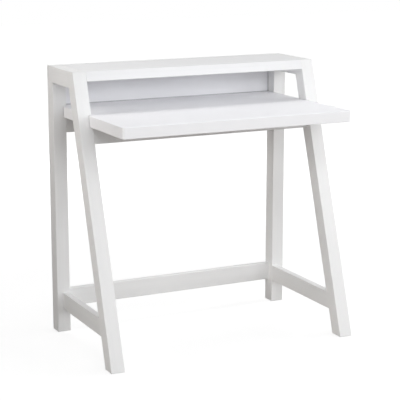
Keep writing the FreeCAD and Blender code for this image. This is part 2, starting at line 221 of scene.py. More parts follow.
def build_wood_grain():
    """Long streaks and fine pores that follow the board's local Z."""
    wire, given, made = effect_group(
        "wood_grain",
        [("Vector", "NodeSocketVector", None), ("Streaks per Metre", "NodeSocketFloat", 120.0),
         ("Length Ratio", "NodeSocketFloat", 0.04)],
        [("Height", "NodeSocketFloat"), ("Shade", "NodeSocketFloat")])
    drift_density, pore_density = 0.22, 6.0
    drift_share, pore_level, pore_depth = 0.45, 0.36, 0.12
    density = given["Streaks per Metre"]
    stretch = wire.add("ShaderNodeCombineXYZ", X=1.0, Y=1.0, Z=given["Length Ratio"]).outputs[0]
    place = wire.vector("MULTIPLY", given["Vector"], stretch)
    drift = wire.noise(place, wire.math("MULTIPLY", density, drift_density), detail=3.0, roughness=0.55)
    streaks = wire.noise(place, density, detail=4.0, roughness=0.6)
    pores = wire.noise(place, wire.math("MULTIPLY", density, pore_density), detail=2.0, roughness=0.7)
    pits = wire.math("LESS_THAN", pores, pore_level)
    shape = wire.math("ADD", wire.math("MULTIPLY", drift, drift_share),
                      wire.math("MULTIPLY", streaks, 1.0 - drift_share))
    wire.feed(made["Height"], wire.math("SUBTRACT", shape, wire.math("MULTIPLY", pits, pore_depth)))
    wire.feed(made["Shade"], shape)


def build_paint_film():
    """The slight ripple of a sprayed coat, and how its sheen wanders."""
    wire, given, made = effect_group(
        "paint_film",
        [("Vector", "NodeSocketVector", None), ("Ripples per Metre", "NodeSocketFloat", 260.0)],
        [("Height", "NodeSocketFloat"), ("Sheen", "NodeSocketFloat")])
    patch_density = 0.03
    patches = wire.math("MULTIPLY", given["Ripples per Metre"], patch_density)
    ripple = wire.noise(given["Vector"], given["Ripples per Metre"], detail=2.0, roughness=0.45)
    wander = wire.noise(given["Vector"], patches, detail=3.0, roughness=0.5)
    wire.feed(made["Height"], ripple)
    wire.feed(made["Sheen"], wander)


def build_soft_edges():
    """A normal rounded over the edges, and a mask of where the edges are."""
    wire, given, made = effect_group(
        "soft_edges",
        [("Radius", "NodeSocketFloat", 0.0015)],
        [("Normal", "NodeSocketVector"), ("Edge", "NodeSocketFloat")])
    mask_gain = 3.0
    rounded = wire.add("ShaderNodeBevel", {"samples": 6}, Radius=given["Radius"]).outputs["Normal"]
    plain = wire.add("ShaderNodeNewGeometry").outputs["True Normal"]
    facing = wire.vector("DOT_PRODUCT", rounded, plain)
    wire.feed(made["Normal"], rounded)
    bend = wire.math("SUBTRACT", 1.0, facing)
    wire.feed(made["Edge"], wire.math("MULTIPLY", bend, mask_gain, clamp=True))


def build_joint_and_gap_shade_line():
    """Line where two pieces meet, on a plane, between two heights and not behind a depth, used for glued
    hairlines and for painted shade in gaps.
    """
    wire, given, made = effect_group(
        "joint_line",
        [("Vector", "NodeSocketVector", None), ("Plane Point", "NodeSocketVector", None),
         ("Plane Normal", "NodeSocketVector", None), ("Lowest", "NodeSocketFloat", 0.0),
         ("Highest", "NodeSocketFloat", 1.0), ("Rearmost", "NodeSocketFloat", BEHIND_THE_DESK),
         ("Width", "NodeSocketFloat", GLUED[0])],
        [("Line", "NodeSocketFloat")])
    away = wire.vector("DOT_PRODUCT", wire.vector("SUBTRACT", given["Vector"], given["Plane Point"]),
                       given["Plane Normal"])
    ramp = wire.math("DIVIDE", wire.math("ABSOLUTE", away), given["Width"])
    line = wire.math("SUBTRACT", 1.0, ramp, clamp=True)
    place = wire.add("ShaderNodeSeparateXYZ", Vector=given["Vector"]).outputs
    within = wire.math("MULTIPLY", wire.math("GREATER_THAN", place["Z"], given["Lowest"]),
                       wire.math("LESS_THAN", place["Z"], given["Highest"]))
    ahead = wire.math("LESS_THAN", place["Y"], given["Rearmost"])
    wire.feed(made["Line"], wire.math("MULTIPLY", line, wire.math("MULTIPLY", within, ahead)))


def build_settled_dust():
    """Mask of the faint dust that lies on faces that look up."""
    wire, given, made = effect_group(
        "settled_dust",
        [("Vector", "NodeSocketVector", None), ("Patches per Metre", "NodeSocketFloat", 14.0)],
        [("Dust", "NodeSocketFloat")])
    normal = wire.add("ShaderNodeNewGeometry").outputs["Normal"]
    upward = wire.add("ShaderNodeSeparateXYZ", Vector=normal).outputs["Z"]
    patches = wire.noise(given["Vector"], given["Patches per Metre"], detail=5.0, roughness=0.62)
    wire.feed(made["Dust"], wire.math("MULTIPLY", wire.math("MAXIMUM", upward, 0.0), patches, clamp=True))


def build_shaded_upright_faces():
    """Mask of the upright faces of a level board, which take a darker white as painted shade."""
    wire, _, made = effect_group("edge_band", [], [("Band", "NodeSocketFloat")])
    most_upward = 0.5
    normal = wire.add("ShaderNodeNewGeometry").outputs["True Normal"]
    upward = wire.add("ShaderNodeSeparateXYZ", Vector=normal).outputs["Z"]
    tilt = wire.math("ABSOLUTE", upward)
    wire.feed(made["Band"], wire.math("LESS_THAN", tilt, most_upward))


EFFECTS = {"wood_grain": build_wood_grain, "paint_film": build_paint_film, "soft_edges": build_soft_edges,
           "joint_line": build_joint_and_gap_shade_line, "settled_dust": build_settled_dust, "edge_band": build_shaded_upright_faces}


# Materials


def new_material(name):
    """Material with its wiring, its Principled BSDF and its object coordinates."""
    material = bpy.data.materials.new(name)
    material.use_nodes = True
    material.node_tree.nodes.clear()
    wire = Wiring(material.node_tree)
    place = wire.add("ShaderNodeTexCoord").outputs["Object"]
    shader = wire.add("ShaderNodeBsdfPrincipled")
    wire.add("ShaderNodeOutputMaterial", Surface=shader.outputs[0])
    return material, wire, shader, place


def use(wire, name, **inputs):
    """Outputs of a placed copy of a shared effect."""
    node = wire.add("ShaderNodeGroup", {"node_tree": effect(name)})
    for label, value in inputs.items():
        wire.feed(node.inputs[label.replace("_", " ")], value)
    return node.outputs


def turned(wire, place, turn):
    """Coordinates turned so that a board's length lies along the local Z."""
    return wire.add("ShaderNodeMapping", {"vector_type": "POINT"}, Vector=place, Rotation=turn).outputs[0]


def shade(colour, share):
    """A colour made darker by a share."""
    return [channel * (1 - share) for channel in colour[:3]] + [1.0]


def paint(name, turn, white, roughness, joints=(), streaks=FRAME_STREAKS, band=None):
    """Satin paint over wood with its grain along the turned local Z, joint lines that include painted shade
    in gaps, and a darker white painted as shade on upright faces when one is given.
    """
    finish = bpy.context.scene.desk_paint
    material, wire, shader, place = new_material(name)
    local = turned(wire, place, turn)
    grain = use(wire, "wood_grain", Vector=local, Streaks_per_Metre=finish.streaks_per_metre)
    film = use(wire, "paint_film", Vector=place, Ripples_per_Metre=finish.ripples_per_metre)
    edges = use(wire, "soft_edges", Radius=finish.edge_softness)
    dust = use(wire, "settled_dust", Vector=place)
    colour = list(white) + [1.0]
    tone = wire.mix(wire.math("MULTIPLY", grain["Shade"], streaks), colour,
                    shade(colour, finish.grain_tone))
    # The worktop's upright faces take a darker white than its top: painted shade
    if band:
        tone = wire.mix(use(wire, "edge_band")["Band"], tone, list(band) + [1.0])
    tone = wire.mix(wire.math("MULTIPLY", dust["Dust"], DUST_SHARE), tone, DUST_TONE)
    tone = wire.mix(wire.math("MULTIPLY", edges["Edge"], WEAR_SHARE), tone, WORN_TONE)
    height = wire.math("ADD", wire.math("MULTIPLY", grain["Height"], streaks),
                       wire.math("MULTIPLY", film["Height"], finish.film_share))
    # Joint lines: faint hairlines at glued joints, and painted shade in the gaps at the back panel and the
    # worktop's housings
    for joint in joints:
        line = use(wire, "joint_line", Vector=place, Plane_Point=joint.point, Plane_Normal=joint.normal,
                   Lowest=joint.lowest, Highest=joint.highest, Rearmost=joint.rearmost,
                   Width=joint.width)["Line"]
        tone = wire.mix(wire.math("MULTIPLY", line, joint.darkness), tone, JOINT_AND_GAP_SHADE_TONE)
        height = wire.math("SUBTRACT", height, line)
    bump = wire.add("ShaderNodeBump", Height=height, Normal=edges["Normal"], Strength=finish.relief,
                    Distance=finish.relief_depth)
    rough = wire.vary(film["Sheen"], roughness, SHEEN_SPAN)
    wire.feed(shader.inputs["Base Color"], tone)
    wire.feed(shader.inputs["Roughness"], wire.math("MULTIPLY_ADD", dust["Dust"], DUST_ROUGHNESS, rough))
    shader.inputs["Specular IOR Level"].default_value = finish.specular
    wire.feed(shader.inputs["Normal"], bump.outputs[0])
    return material


def metal(name, colour, roughness):
    """Plated or cast metal with a faint grit, brighter on its edges."""
    material, wire, shader, place = new_material(name)
    film = use(wire, "paint_film", Vector=place, Ripples_per_Metre=900.0)
    edges = use(wire, "soft_edges", Radius=0.0003)
    base = list(colour) + [1.0]
    tone = wire.mix(film["Sheen"], base, shade(base, share=0.18))
    bright_edge, edge_share = (0.9, 0.9, 0.9, 1.0), 0.5
    tone = wire.mix(wire.math("MULTIPLY", edges["Edge"], edge_share), tone, bright_edge)
    bump = wire.add("ShaderNodeBump", Height=film["Height"], Normal=edges["Normal"], Strength=0.25,
                    Distance=0.0001)
    shader.inputs["Metallic"].default_value = 1.0
    wire.feed(shader.inputs["Base Color"], tone)
    wire.feed(shader.inputs["Roughness"], wire.vary(film["Sheen"], roughness, span=0.2))
    wire.feed(shader.inputs["Normal"], bump.outputs[0])
    return material


def plain_wood(name, turn):
    """Unpainted hardwood for the dowels."""
    material, wire, shader, place = new_material(name)
    local = turned(wire, place, turn)
    grain = use(wire, "wood_grain", Vector=local, Streaks_per_Metre=900.0)
    pale_wood, dark_wood = (0.72, 0.52, 0.32, 1.0), (0.5, 0.33, 0.18, 1.0)
    tone = wire.mix(grain["Shade"], pale_wood, dark_wood)
    bump = wire.add("ShaderNodeBump", Height=grain["Height"], Strength=0.4, Distance=0.0002)
    wire.feed(shader.inputs["Base Color"], tone)
    wire.feed(shader.inputs["Roughness"], wire.vary(grain["Shade"], middle=0.6, span=0.2))
    wire.feed(shader.inputs["Normal"], bump.outputs[0])
    return material


def moulded_plastic(name):
    """Matt white plastic of the floor glides."""
    material, wire, shader, place = new_material(name)
    film = use(wire, "paint_film", Vector=place, Ripples_per_Metre=1500.0)
    edges = use(wire, "soft_edges", Radius=0.0004)
    pale_plastic, dull_plastic = (0.78, 0.78, 0.75, 1.0), (0.7, 0.69, 0.66, 1.0)
    tone = wire.mix(film["Sheen"], pale_plastic, dull_plastic)
    bump = wire.add("ShaderNodeBump", Height=film["Height"], Normal=edges["Normal"], Strength=0.2,
                    Distance=0.0001)
    wire.feed(shader.inputs["Base Color"], tone)
    wire.feed(shader.inputs["Roughness"], wire.vary(film["Sheen"], middle=0.575, span=0.15))
    wire.feed(shader.inputs["Normal"], bump.outputs[0])
    return material


def finish_node(name, material):
    """Gives a piece of the frame its material."""
    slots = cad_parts[name].data.materials
    slots.clear()
    slots.append(material)


# Joint lines, worked out from the frame's own boxes


def front_leg_lean():
    """Angle between a front leg and the upright, from the slope of the top rail's front end."""
    leg_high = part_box("left_front_leg")[1]
    rail_low = RAIL_BOX[0]
    return math.atan2(leg_high[1] - rail_low[1], leg_high[2] - rail_low[2])


def rail_joints():
    """Glued joints at the rear and at the front end of a top rail."""
    low, high = RAIL_BOX
    lean = front_leg_lean()
    slope = (0.0, math.cos(lean), -math.sin(lean))
    return [Joint((0.0, high[1], 0.0), REAR, low[2], high[2], *GLUED),
            Joint((0.0, low[1], low[2]), slope, low[2], high[2], *GLUED)]


def housing_gap_shades():
    """Painted shade in the gaps between the worktop's ends and the front legs."""
    low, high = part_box("worktop")
    return [Joint((x, 0.0, 0.0), RIGHT, low[2], high[2], *HOUSING_GAP_SHADE) for x in (low[0], high[0])]


def panel_gap_shades():
    """Painted shade in the gaps between the front of the back panel and the worktop and the rear legs."""
    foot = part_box("worktop")[1][2]
    end = RAIL_BOX[1][0]
    low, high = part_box("back_panel")
    middle = (low[1] + high[1]) / 2
    planes = [((end, 0.0, 0.0), RIGHT), ((-end, 0.0, 0.0), RIGHT), ((0.0, 0.0, foot), UP)]
    return [Joint(point, normal, low[2], high[2], *PANEL_GAP_SHADE, middle) for point, normal in planes]


# Small fittings, made by Geometry Nodes on the places of the fixings in the frame


# Points of one solid that are nearer than this are one point
MERGE_DISTANCE = 1e-6

# How far a cutter stands over the face that it cuts
CLEAR = 0.001


def fixing_places(node):
    """Low and high corners of each separate solid of a node."""
    mesh = bmesh.new()
    mesh.from_mesh(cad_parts[node].data)
    bmesh.ops.remove_doubles(mesh, verts=mesh.verts, dist=MERGE_DISTANCE)
    seen = set()
    boxes = []
    for start in mesh.verts:
        if start in seen:
            continue
        seen.add(start)
        stack = [start]
        points = []
        while stack:
            vertex = stack.pop()
            points.append(vertex.co.copy())
            for edge in vertex.link_edges:
                other = edge.other_vert(vertex)
                if other not in seen:
                    seen.add(other)
                    stack.append(other)
        low = Vector([min(p[i] for p in points) for i in range(3)])
        high = Vector([max(p[i] for p in points) for i in range(3)])
        boxes.append((low, high))
    mesh.free()
    return boxes


class FittingTree:
    """A Geometry Nodes tree that sets one fitting on every point of a mesh."""

    def __init__(self, name, sizes):
        self.tree = bpy.data.node_groups.new(name, "GeometryNodeTree")
        face = self.tree.interface
        face.new_socket("Geometry", in_out="INPUT", socket_type="NodeSocketGeometry")
        for label, value in sizes.items():
            face.new_socket(label, in_out="INPUT", socket_type="NodeSocketFloat").default_value = value
        face.new_socket("Material", in_out="INPUT", socket_type="NodeSocketMaterial")
        face.new_socket("Geometry", in_out="OUTPUT", socket_type="NodeSocketGeometry")
        self.wire = Wiring(self.tree)
        self.given = self.wire.add("NodeGroupInput").outputs

    def part(self, label, share):
        """A share of one of the fitting's sizes."""
        return self.wire.math("MULTIPLY", self.given[label], share)

    def rest(self, label, part):
        """What is left of one of the fitting's sizes beyond a part of it."""
        return self.wire.math("SUBTRACT", self.given[label], part)

    def under(self, depth, share=0.98):
        """Height below the top face where the next solid starts; a share under one makes the two lap."""
        return self.wire.math("MULTIPLY", depth, -share)

    def shift(self, geometry, z, turn=0.0):
        """Geometry moved along its own Z and turned about it."""
        place = self.wire.add("ShaderNodeCombineXYZ", Z=z).outputs[0]
        moved = self.wire.add("GeometryNodeTransform", Geometry=geometry, Translation=place,
                              Rotation=(0.0, 0.0, turn))
        return moved.outputs[0]

    def rod(self, radius, depth, top, sides=32):
        """Round bar whose upper end is at a height."""
        bar = self.wire.add("GeometryNodeMeshCylinder", Vertices=sides, Radius=radius, Depth=depth)
        middle = self.wire.math("SUBTRACT", top, self.wire.math("MULTIPLY", depth, 0.5))
        return self.shift(bar.outputs["Mesh"], middle)

    def taper(self, upper, lower, depth, top, sides=32):
        """Cone between two radii whose upper end is at a height."""
        cone = self.wire.add("GeometryNodeMeshCone", Vertices=sides, Radius_Top=upper, Radius_Bottom=lower,
                             Depth=depth)
        return self.shift(cone.outputs["Mesh"], self.wire.math("SUBTRACT", top, depth))

    def pit(self, radius, depth, sides=32):
        """Cutter for a round pit of a depth in the top face."""
        return self.rod(radius, self.wire.math("ADD", depth, CLEAR), CLEAR, sides)

    def groove(self, length, width, depth, turn=0.0):
        """Cutter for a straight groove of a depth in the top face."""
        reach = self.wire.math("ADD", depth, CLEAR)
        size = self.wire.add("ShaderNodeCombineXYZ", X=length, Y=width, Z=reach).outputs[0]
        cube = self.wire.add("GeometryNodeMeshCube", Size=size)
        middle = self.wire.math("SUBTRACT", CLEAR, self.wire.math("MULTIPLY", reach, 0.5))
        return self.shift(cube.outputs["Mesh"], middle, turn)

    def driver_cross(self):
        """The two grooves that make a driver's cross in the top face."""
        given = self.given
        return [self.groove(given["Cross Length"], given["Cross Width"], given["Cross Depth"], turn)
                for turn in (0.0, math.pi / 2)]

    def less(self, solid, *cutters):
        """A solid with cutters taken out of it."""
        cut = self.wire.add("GeometryNodeMeshBoolean", {"operation": "DIFFERENCE", "solver": "EXACT"})
        self.tree.links.new(solid, cut.inputs["Mesh 1"])
        for cutter in cutters:
            self.tree.links.new(cutter, cut.inputs["Mesh 2"])
        return cut.outputs["Mesh"]

    def union(self, *solids):
        """Solids made one."""
        joined = self.wire.add("GeometryNodeMeshBoolean", {"operation": "UNION", "solver": "EXACT"})
        for solid in solids:
            self.tree.links.new(solid, joined.inputs["Mesh 2"])
        return joined.outputs["Mesh"]

    def finish(self, fitting):
        """Sets the fitting on the points, facing the way that each point names."""
        wire = self.wire
        material = self.given["Material"]
        facing = wire.add("GeometryNodeInputNamedAttribute", {"data_type": "FLOAT_VECTOR"}, Name="facing")
        turn = wire.add("FunctionNodeAlignRotationToVector", {"axis": "Z"},
                        Vector=facing.outputs["Attribute"])
        placed = wire.add("GeometryNodeInstanceOnPoints", Points=self.given["Geometry"], Instance=fitting,
                          Rotation=turn.outputs[0])
        real = wire.add("GeometryNodeRealizeInstances", Geometry=placed.outputs[0])
        coated = wire.add("GeometryNodeSetMaterial", Geometry=real.outputs[0], Material=material)
        wire.add("NodeGroupOutput", Geometry=coated.outputs[0])
        return self.tree


def cam_tree():
    """Cast cam: a flanged drum with a driver's cross and a notch that shows where it is locked."""
    tree = FittingTree("cam_fitting", {"Radius": 0.0074, "Height": 0.012, "Dish Depth": 0.0003,
                                       "Boss Drop": 0.0001, "Notch Width": 0.0009, "Notch Depth": 0.0004,
                                       "Cross Length": 0.007, "Cross Width": 0.0014, "Cross Depth": 0.0022})
    given = tree.given
    lip = tree.part("Radius", 0.12)
    cap = tree.rod(given["Radius"], lip, 0.0, sides=48)
    drum = tree.rod(tree.part("Radius", 0.93), tree.rest("Height", lip), tree.under(lip), sides=48)
    dish = tree.pit(tree.part("Radius", 0.8), given["Dish Depth"], sides=48)
    boss = tree.rod(tree.part("Radius", 0.62), CLEAR, tree.under(given["Boss Drop"], 1.0), sides=40)
    notch = tree.groove(tree.part("Radius", 4.0), given["Notch Width"], given["Notch Depth"], math.pi / 4)
    body = tree.less(tree.union(cap, drum), tree.less(dish, boss), notch, *tree.driver_cross())
    return tree.finish(body)


def countersunk_tree():
    """Countersunk screw with a driver's cross, its head flush with the surface."""
    tree = FittingTree("countersunk_screw", {"Head Radius": 0.003, "Shank Radius": 0.0015, "Length": 0.02,
                                             "Head Depth": 0.0018, "Cross Length": 0.0032,
                                             "Cross Width": 0.0006, "Cross Depth": 0.0011})
    given = tree.given
    rim = tree.part("Head Depth", 0.12)
    edge = tree.rod(given["Head Radius"], rim, 0.0)
    head = tree.taper(given["Head Radius"], given["Shank Radius"], tree.rest("Head Depth", rim),
                      tree.under(rim, 0.9))
    shank = tree.rod(given["Shank Radius"], tree.rest("Length", rim), tree.under(rim, 1.0), sides=20)
    return tree.finish(tree.less(tree.union(head, edge, shank), *tree.driver_cross()))


def pan_tree():
    """Pan-headed screw with a driver's cross, its head standing on a seat below the surface."""
    tree = FittingTree("pan_screw", {"Head Radius": 0.0042, "Shank Radius": 0.0022, "Length": 0.0526,
                                     "Head Depth": 0.0026, "Cross Length": 0.0044, "Cross Width": 0.0008,
                                     "Cross Depth": 0.0015})
    given = tree.given
    crown_depth = tree.part("Head Depth", 0.4)
    crown = tree.taper(tree.part("Head Radius", 0.8), given["Head Radius"], crown_depth, 0.0)
    head = tree.rod(given["Head Radius"], tree.rest("Head Depth", crown_depth), tree.under(crown_depth))
    shank = tree.rod(given["Shank Radius"], tree.rest("Length", crown_depth), tree.under(crown_depth),
                     sides=20)
    return tree.finish(tree.less(tree.union(crown, head, shank), *tree.driver_cross()))


def glide_tree():
    """Round floor glide with a chamfered rim and a hole for its nail."""
    tree = FittingTree("floor_glide", {"Radius": 0.01, "Thickness": 0.002, "Chamfer": 0.0005,
                                       "Recess Radius": 0.0032, "Recess Depth": 0.0012,
                                       "Hole Radius": 0.00135})
    given = tree.given
    chamfer = given["Chamfer"]
    rim = tree.taper(tree.rest("Radius", chamfer), given["Radius"], chamfer, 0.0, sides=64)
    pad = tree.rod(given["Radius"], tree.rest("Thickness", chamfer), tree.under(chamfer), sides=64)
    recess = tree.pit(given["Recess Radius"], given["Recess Depth"], sides=40)
    hole = tree.pit(given["Hole Radius"], tree.part("Thickness", 3.0), sides=20)
    return tree.finish(tree.less(tree.union(rim, pad), recess, hole))


def nail_tree():
    """Flat-headed nail."""
    tree = FittingTree("glide_nail", {"Head Radius": 0.0027, "Head Depth": 0.0007, "Shank Radius": 0.0013,
                                      "Length": 0.0167})
    given = tree.given
    bevel = tree.part("Head Depth", 0.35)
    crown = tree.taper(tree.part("Head Radius", 0.88), given["Head Radius"], bevel, 0.0)
    head = tree.rod(given["Head Radius"], tree.rest("Head Depth", bevel), tree.under(bevel))
    shank = tree.rod(given["Shank Radius"], tree.rest("Length", bevel), tree.under(bevel, 1.0), sides=20)
    return tree.finish(tree.union(crown, head, shank))


def face_point(box, facing):
    """Middle of the side of a box that looks along a direction."""
    low, high = box
    point = (low + high) / 2
    for axis in range(3):
        if facing[axis]:
            point[axis] = (high if facing[axis] > 0 else low)[axis]
    return point


def set_fittings(name, nodes, tree, facing, material, sink=0.0):
    """Sets one fitting on every solid of some nodes and stands them in for those nodes."""
    way = Vector(facing)
    points = [face_point(box, way) - way * sink for node in nodes for box in fixing_places(node)]
    mesh = bpy.data.meshes.new(name + "_places")
    mesh.from_pydata(points, [], [])
    for entry in mesh.attributes.new("facing", "FLOAT_VECTOR", "POINT").data:
        entry.vector = way
    holder = bpy.data.objects.new(name + "_places", mesh)
    bpy.context.scene.collection.objects.link(holder)
    modifier = holder.modifiers.new("fittings", "NODES")
    modifier.node_group = tree
    for item in tree.interface.items_tree:
        if item.in_out == "INPUT" and item.name == "Material":
            modifier[item.identifier] = material
    evaluated = holder.evaluated_get(bpy.context.evaluated_depsgraph_get())
    baked = bpy.data.meshes.new_from_object(evaluated)
    holder.modifiers.remove(modifier)
    bpy.data.objects.remove(holder)
    baked.name = name
    piece = bpy.data.objects.new(name, baked)
    bpy.context.scene.collection.objects.link(piece)
    if "facing" in baked.attributes:
        baked.attributes.remove(baked.attributes["facing"])
    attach(piece, BODY)
    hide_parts(*nodes)


# Settings


class DeskPaintSettings(bpy.types.PropertyGroup):
    """Finish of the painted boards"""
    frame_colour: FloatVectorProperty(name="Frames", description="White of the frames and the cross boards",
                                      subtype="COLOR", size=3, min=0.0, max=1.0, default=(0.9, 0.9, 0.9))
    # The shelf takes a darker white than the frames' paint: painted shade
    shaded_shelf_colour: FloatVectorProperty(name="Shelf", description="White of the raised shelf",
                                      subtype="COLOR", size=3, min=0.0, max=1.0,
                                      default=(0.86, 0.86, 0.868))
    worktop_colour: FloatVectorProperty(name="Worktop", description="Cooler white of the worktop",
                                        subtype="COLOR", size=3, min=0.0, max=1.0,
                                        default=(0.955, 0.955, 0.98))
    # The worktop's upright faces take this darker white: painted shade against its lighter top
    upright_shade_colour: FloatVectorProperty(name="Edge band",
                                     description="White of the band on the worktop's edges",
                                     subtype="COLOR", size=3, min=0.0, max=1.0, default=(0.888, 0.886, 0.9))
    panel_colour: FloatVectorProperty(name="Back panel", description="Cooler white of the back panel",
                                      subtype="COLOR", size=3, min=0.0, max=1.0,
                                      default=(0.92, 0.92, 0.945))
    roughness: FloatProperty(name="Roughness", description="Roughness of the satin paint",
                             default=0.66, min=0.05, max=1.0)
    worktop_roughness: FloatProperty(name="Worktop roughness",
                                     description="Roughness of the worktop's smoother coat",
                                     default=0.44, min=0.05, max=1.0)
    specular: FloatProperty(name="Specular", description="Strength of the paint's reflection",
                            default=0.3, min=0.0, max=1.0)
    streaks_per_metre: FloatProperty(name="Streaks",
                                     description="Grain streaks in one metre across a board",
                                     default=130.0, min=1.0)
    grain_tone: FloatProperty(name="Grain tone", description="How much the grain darkens the paint",
                              default=0.09, min=0.0, max=1.0)
    ripples_per_metre: FloatProperty(name="Ripples", description="Ripples of the paint film in one metre",
                                     default=260.0, min=1.0)
    film_share: FloatProperty(name="Film relief",
                              description="Relief of the paint film against the grain's",
                              default=0.35, min=0.0)
    relief: FloatProperty(name="Relief strength", description="How strongly the relief shows",
                          default=0.35, min=0.0, max=1.0)
    relief_depth: FloatProperty(name="Relief depth", description="Depth of the grain under the paint",
                                default=0.0004, min=0.0, unit="LENGTH")
    edge_softness: FloatProperty(name="Edge softness",
                                 description="Radius over which edges are shaded round",
                                 default=0.0016, min=0.0, unit="LENGTH")


class DeskFittingSettings(bpy.types.PropertyGroup):
    """Finish of the fixings"""
    plated_colour: FloatVectorProperty(name="Plated steel", description="Colour of screws, bolts and nails",
                                       subtype="COLOR", size=3, min=0.0, max=1.0,
                                       default=(0.62, 0.61, 0.58))
    cast_colour: FloatVectorProperty(name="Cast zinc", description="Colour of the cams",
                                     subtype="COLOR", size=3, min=0.0, max=1.0, default=(0.5, 0.5, 0.51))
    sink: FloatProperty(name="Sink", description="How far the fixings' faces sit under the frame's",
                        default=0.00005, min=0.0, unit="LENGTH")


class DeskStageSettings(bpy.types.PropertyGroup):
    """Camera and light of the studio"""
    lens: FloatProperty(name="Lens", description="Focal length on a 36 mm sensor", default=118.99,
                        min=1.0, unit="CAMERA")
    eye: FloatVectorProperty(name="Eye", description="Place of the camera", subtype="XYZ", size=3,
                             unit="LENGTH", default=(-1.8516, -3.7385, 1.3514))
    heading: FloatProperty(name="Heading",
                           description="Turn of the camera from straight at the desk's front",
                           default=math.radians(26.22), subtype="ANGLE")
    dip: FloatProperty(name="Dip", description="How far the camera looks down", default=math.radians(12.2),
                       subtype="ANGLE")
    ambient: FloatProperty(name="Ambient", description="Strength of the even light of the room",
                           default=0.16, min=0.0)
    front_power: FloatProperty(name="Front light", description="Power of the large light in front",
                               default=26.0, min=0.0, unit="POWER")
    wide_power: FloatProperty(name="Wide light",
                              description="Power of the large light in front, at the right",
                              default=53.0, min=0.0, unit="POWER")
    right_power: FloatProperty(name="Right light", description="Power of the large light at the right",
                               default=96.0, min=0.0, unit="POWER")
    high_power: FloatProperty(name="High light", description="Power of the light high up at the right",
                              default=24.0, min=0.0, unit="POWER")
    left_power: FloatProperty(name="Left light", description="Power of the low beam from the left",
                              default=2.9, min=0.0, unit="POWER")
    rear_power: FloatProperty(name="Rear light", description="Power of the low light behind the desk",
                              default=37.0, min=0.0, unit="POWER")
    top_power: FloatProperty(name="Top light", description="Power of the light above the desk",
                             default=26.0, min=0.0, unit="POWER")
    key_power: FloatProperty(name="Key light", description="Power of the long strip high up in front",
                             default=25.0, min=0.0, unit="POWER")
    corner_power: FloatProperty(name="Corner light",
                                description="Power of the small beam at the upper left corner",
                                default=0.44, min=0.0, unit="POWER")
    floor_reach: FloatProperty(name="Floor", description="Half the width of the floor", default=12.0,
                               min=1.0, unit="LENGTH")


# Pieces


class DESK_OT_paint_side_frames(bpy.types.Operator):
    """Paint the legs and rails of both side frames, with the grain along each member"""
    bl_idname = "desk.paint_side_frames"
    bl_label = "Paint Side Frames"

    def execute(self, context):
        ends = rail_joints()
        settings = context.scene.desk_paint
        coat = (settings.frame_colour, settings.roughness)
        upright = paint("painted_upright", ALONG_Z, *coat, ends[:1])
        # The sloping legs also carry painted shade in the gaps at the worktop's housings
        sloping = paint("painted_sloping", (front_leg_lean(), 0.0, 0.0), *coat,
                        ends[1:] + housing_gap_shades())
        deep = paint("painted_rail", ALONG_Y, *coat, ends)
        for names, material in ((UPRIGHT_BOARDS, upright), (SLOPING_BOARDS, sloping), (DEEP_BOARDS, deep)):
            for name in names:
                finish_node(name, material)
        return {"FINISHED"}


class DESK_OT_paint_boards(bpy.types.Operator):
    """Paint the worktop, the shelf, the aprons, the stretcher and the back panel"""
    bl_idname = "desk.paint_boards"
    bl_label = "Paint Boards"

    def execute(self, context):
        settings = context.scene.desk_paint
        coat = (settings.frame_colour, settings.roughness)
        wide = paint("painted_wide", ALONG_X, *coat)
        for name in WIDE_BOARDS:
            finish_node(name, wide)
        # The shelf's darker white and the worktop's darker upright faces are painted shade, and the panel
        # carries painted shade in its gaps
        finish_node("rear_shelf", paint("painted_shelf", ALONG_X, settings.shaded_shelf_colour,
                                        settings.roughness, streaks=SHELF_STREAKS))
        finish_node("worktop", paint("painted_worktop", ALONG_X, settings.worktop_colour,
                                     settings.worktop_roughness, streaks=WORKTOP_STREAKS,
                                     band=settings.upright_shade_colour))
        finish_node("back_panel", paint("painted_panel", ALONG_X, settings.panel_colour,
                                        settings.roughness, panel_gap_shades(), PANEL_STREAKS))
        return {"FINISHED"}


class DESK_OT_finish_dowels(bpy.types.Operator):
    """Give the dowels their plain wood"""
    bl_idname = "desk.finish_dowels"
    bl_label = "Finish Dowels"

    def execute(self, context):
        deep = plain_wood("dowel_wood_deep", ALONG_Y)
        wide = plain_wood("dowel_wood_wide", ALONG_X)
        for name in DOWELS:
            finish_node(name, deep if "frame" in name else wide)
        return {"FINISHED"}


class DESK_OT_fit_cams(bpy.types.Operator):
    """Set the cams and finish their bolts"""
    bl_idname = "desk.fit_cams"
    bl_label = "Fit Cams"

    def execute(self, context):
        settings = context.scene.desk_fittings
        cast = metal("cast_zinc", settings.cast_colour, 0.48)
        steel = metal("plated_steel_bolts", settings.plated_colour, 0.34)
        for name in CAM_BOLTS:
            finish_node(name, steel)
        tree = cam_tree()
        set_fittings("shelf_cam_drums", CAMS[:1], tree, DOWN, cast, settings.sink)
        set_fittings("board_cam_drums", CAMS[1:], tree, REAR, cast, settings.sink)
        return {"FINISHED"}


class DESK_OT_fit_screws(bpy.types.Operator):
    """Set the screws of the back panel and the worktop"""
    bl_idname = "desk.fit_screws"
    bl_label = "Fit Screws"

    def execute(self, context):
        settings = context.scene.desk_fittings
        steel = metal("plated_steel_screws", settings.plated_colour, 0.32)
        set_fittings("panel_screw_set", ("panel_screws",), countersunk_tree(), REAR, steel,
                     settings.sink)
        set_fittings("worktop_screw_set", ("worktop_screws",), pan_tree(), DOWN, steel,
                     settings.sink)
        return {"FINISHED"}


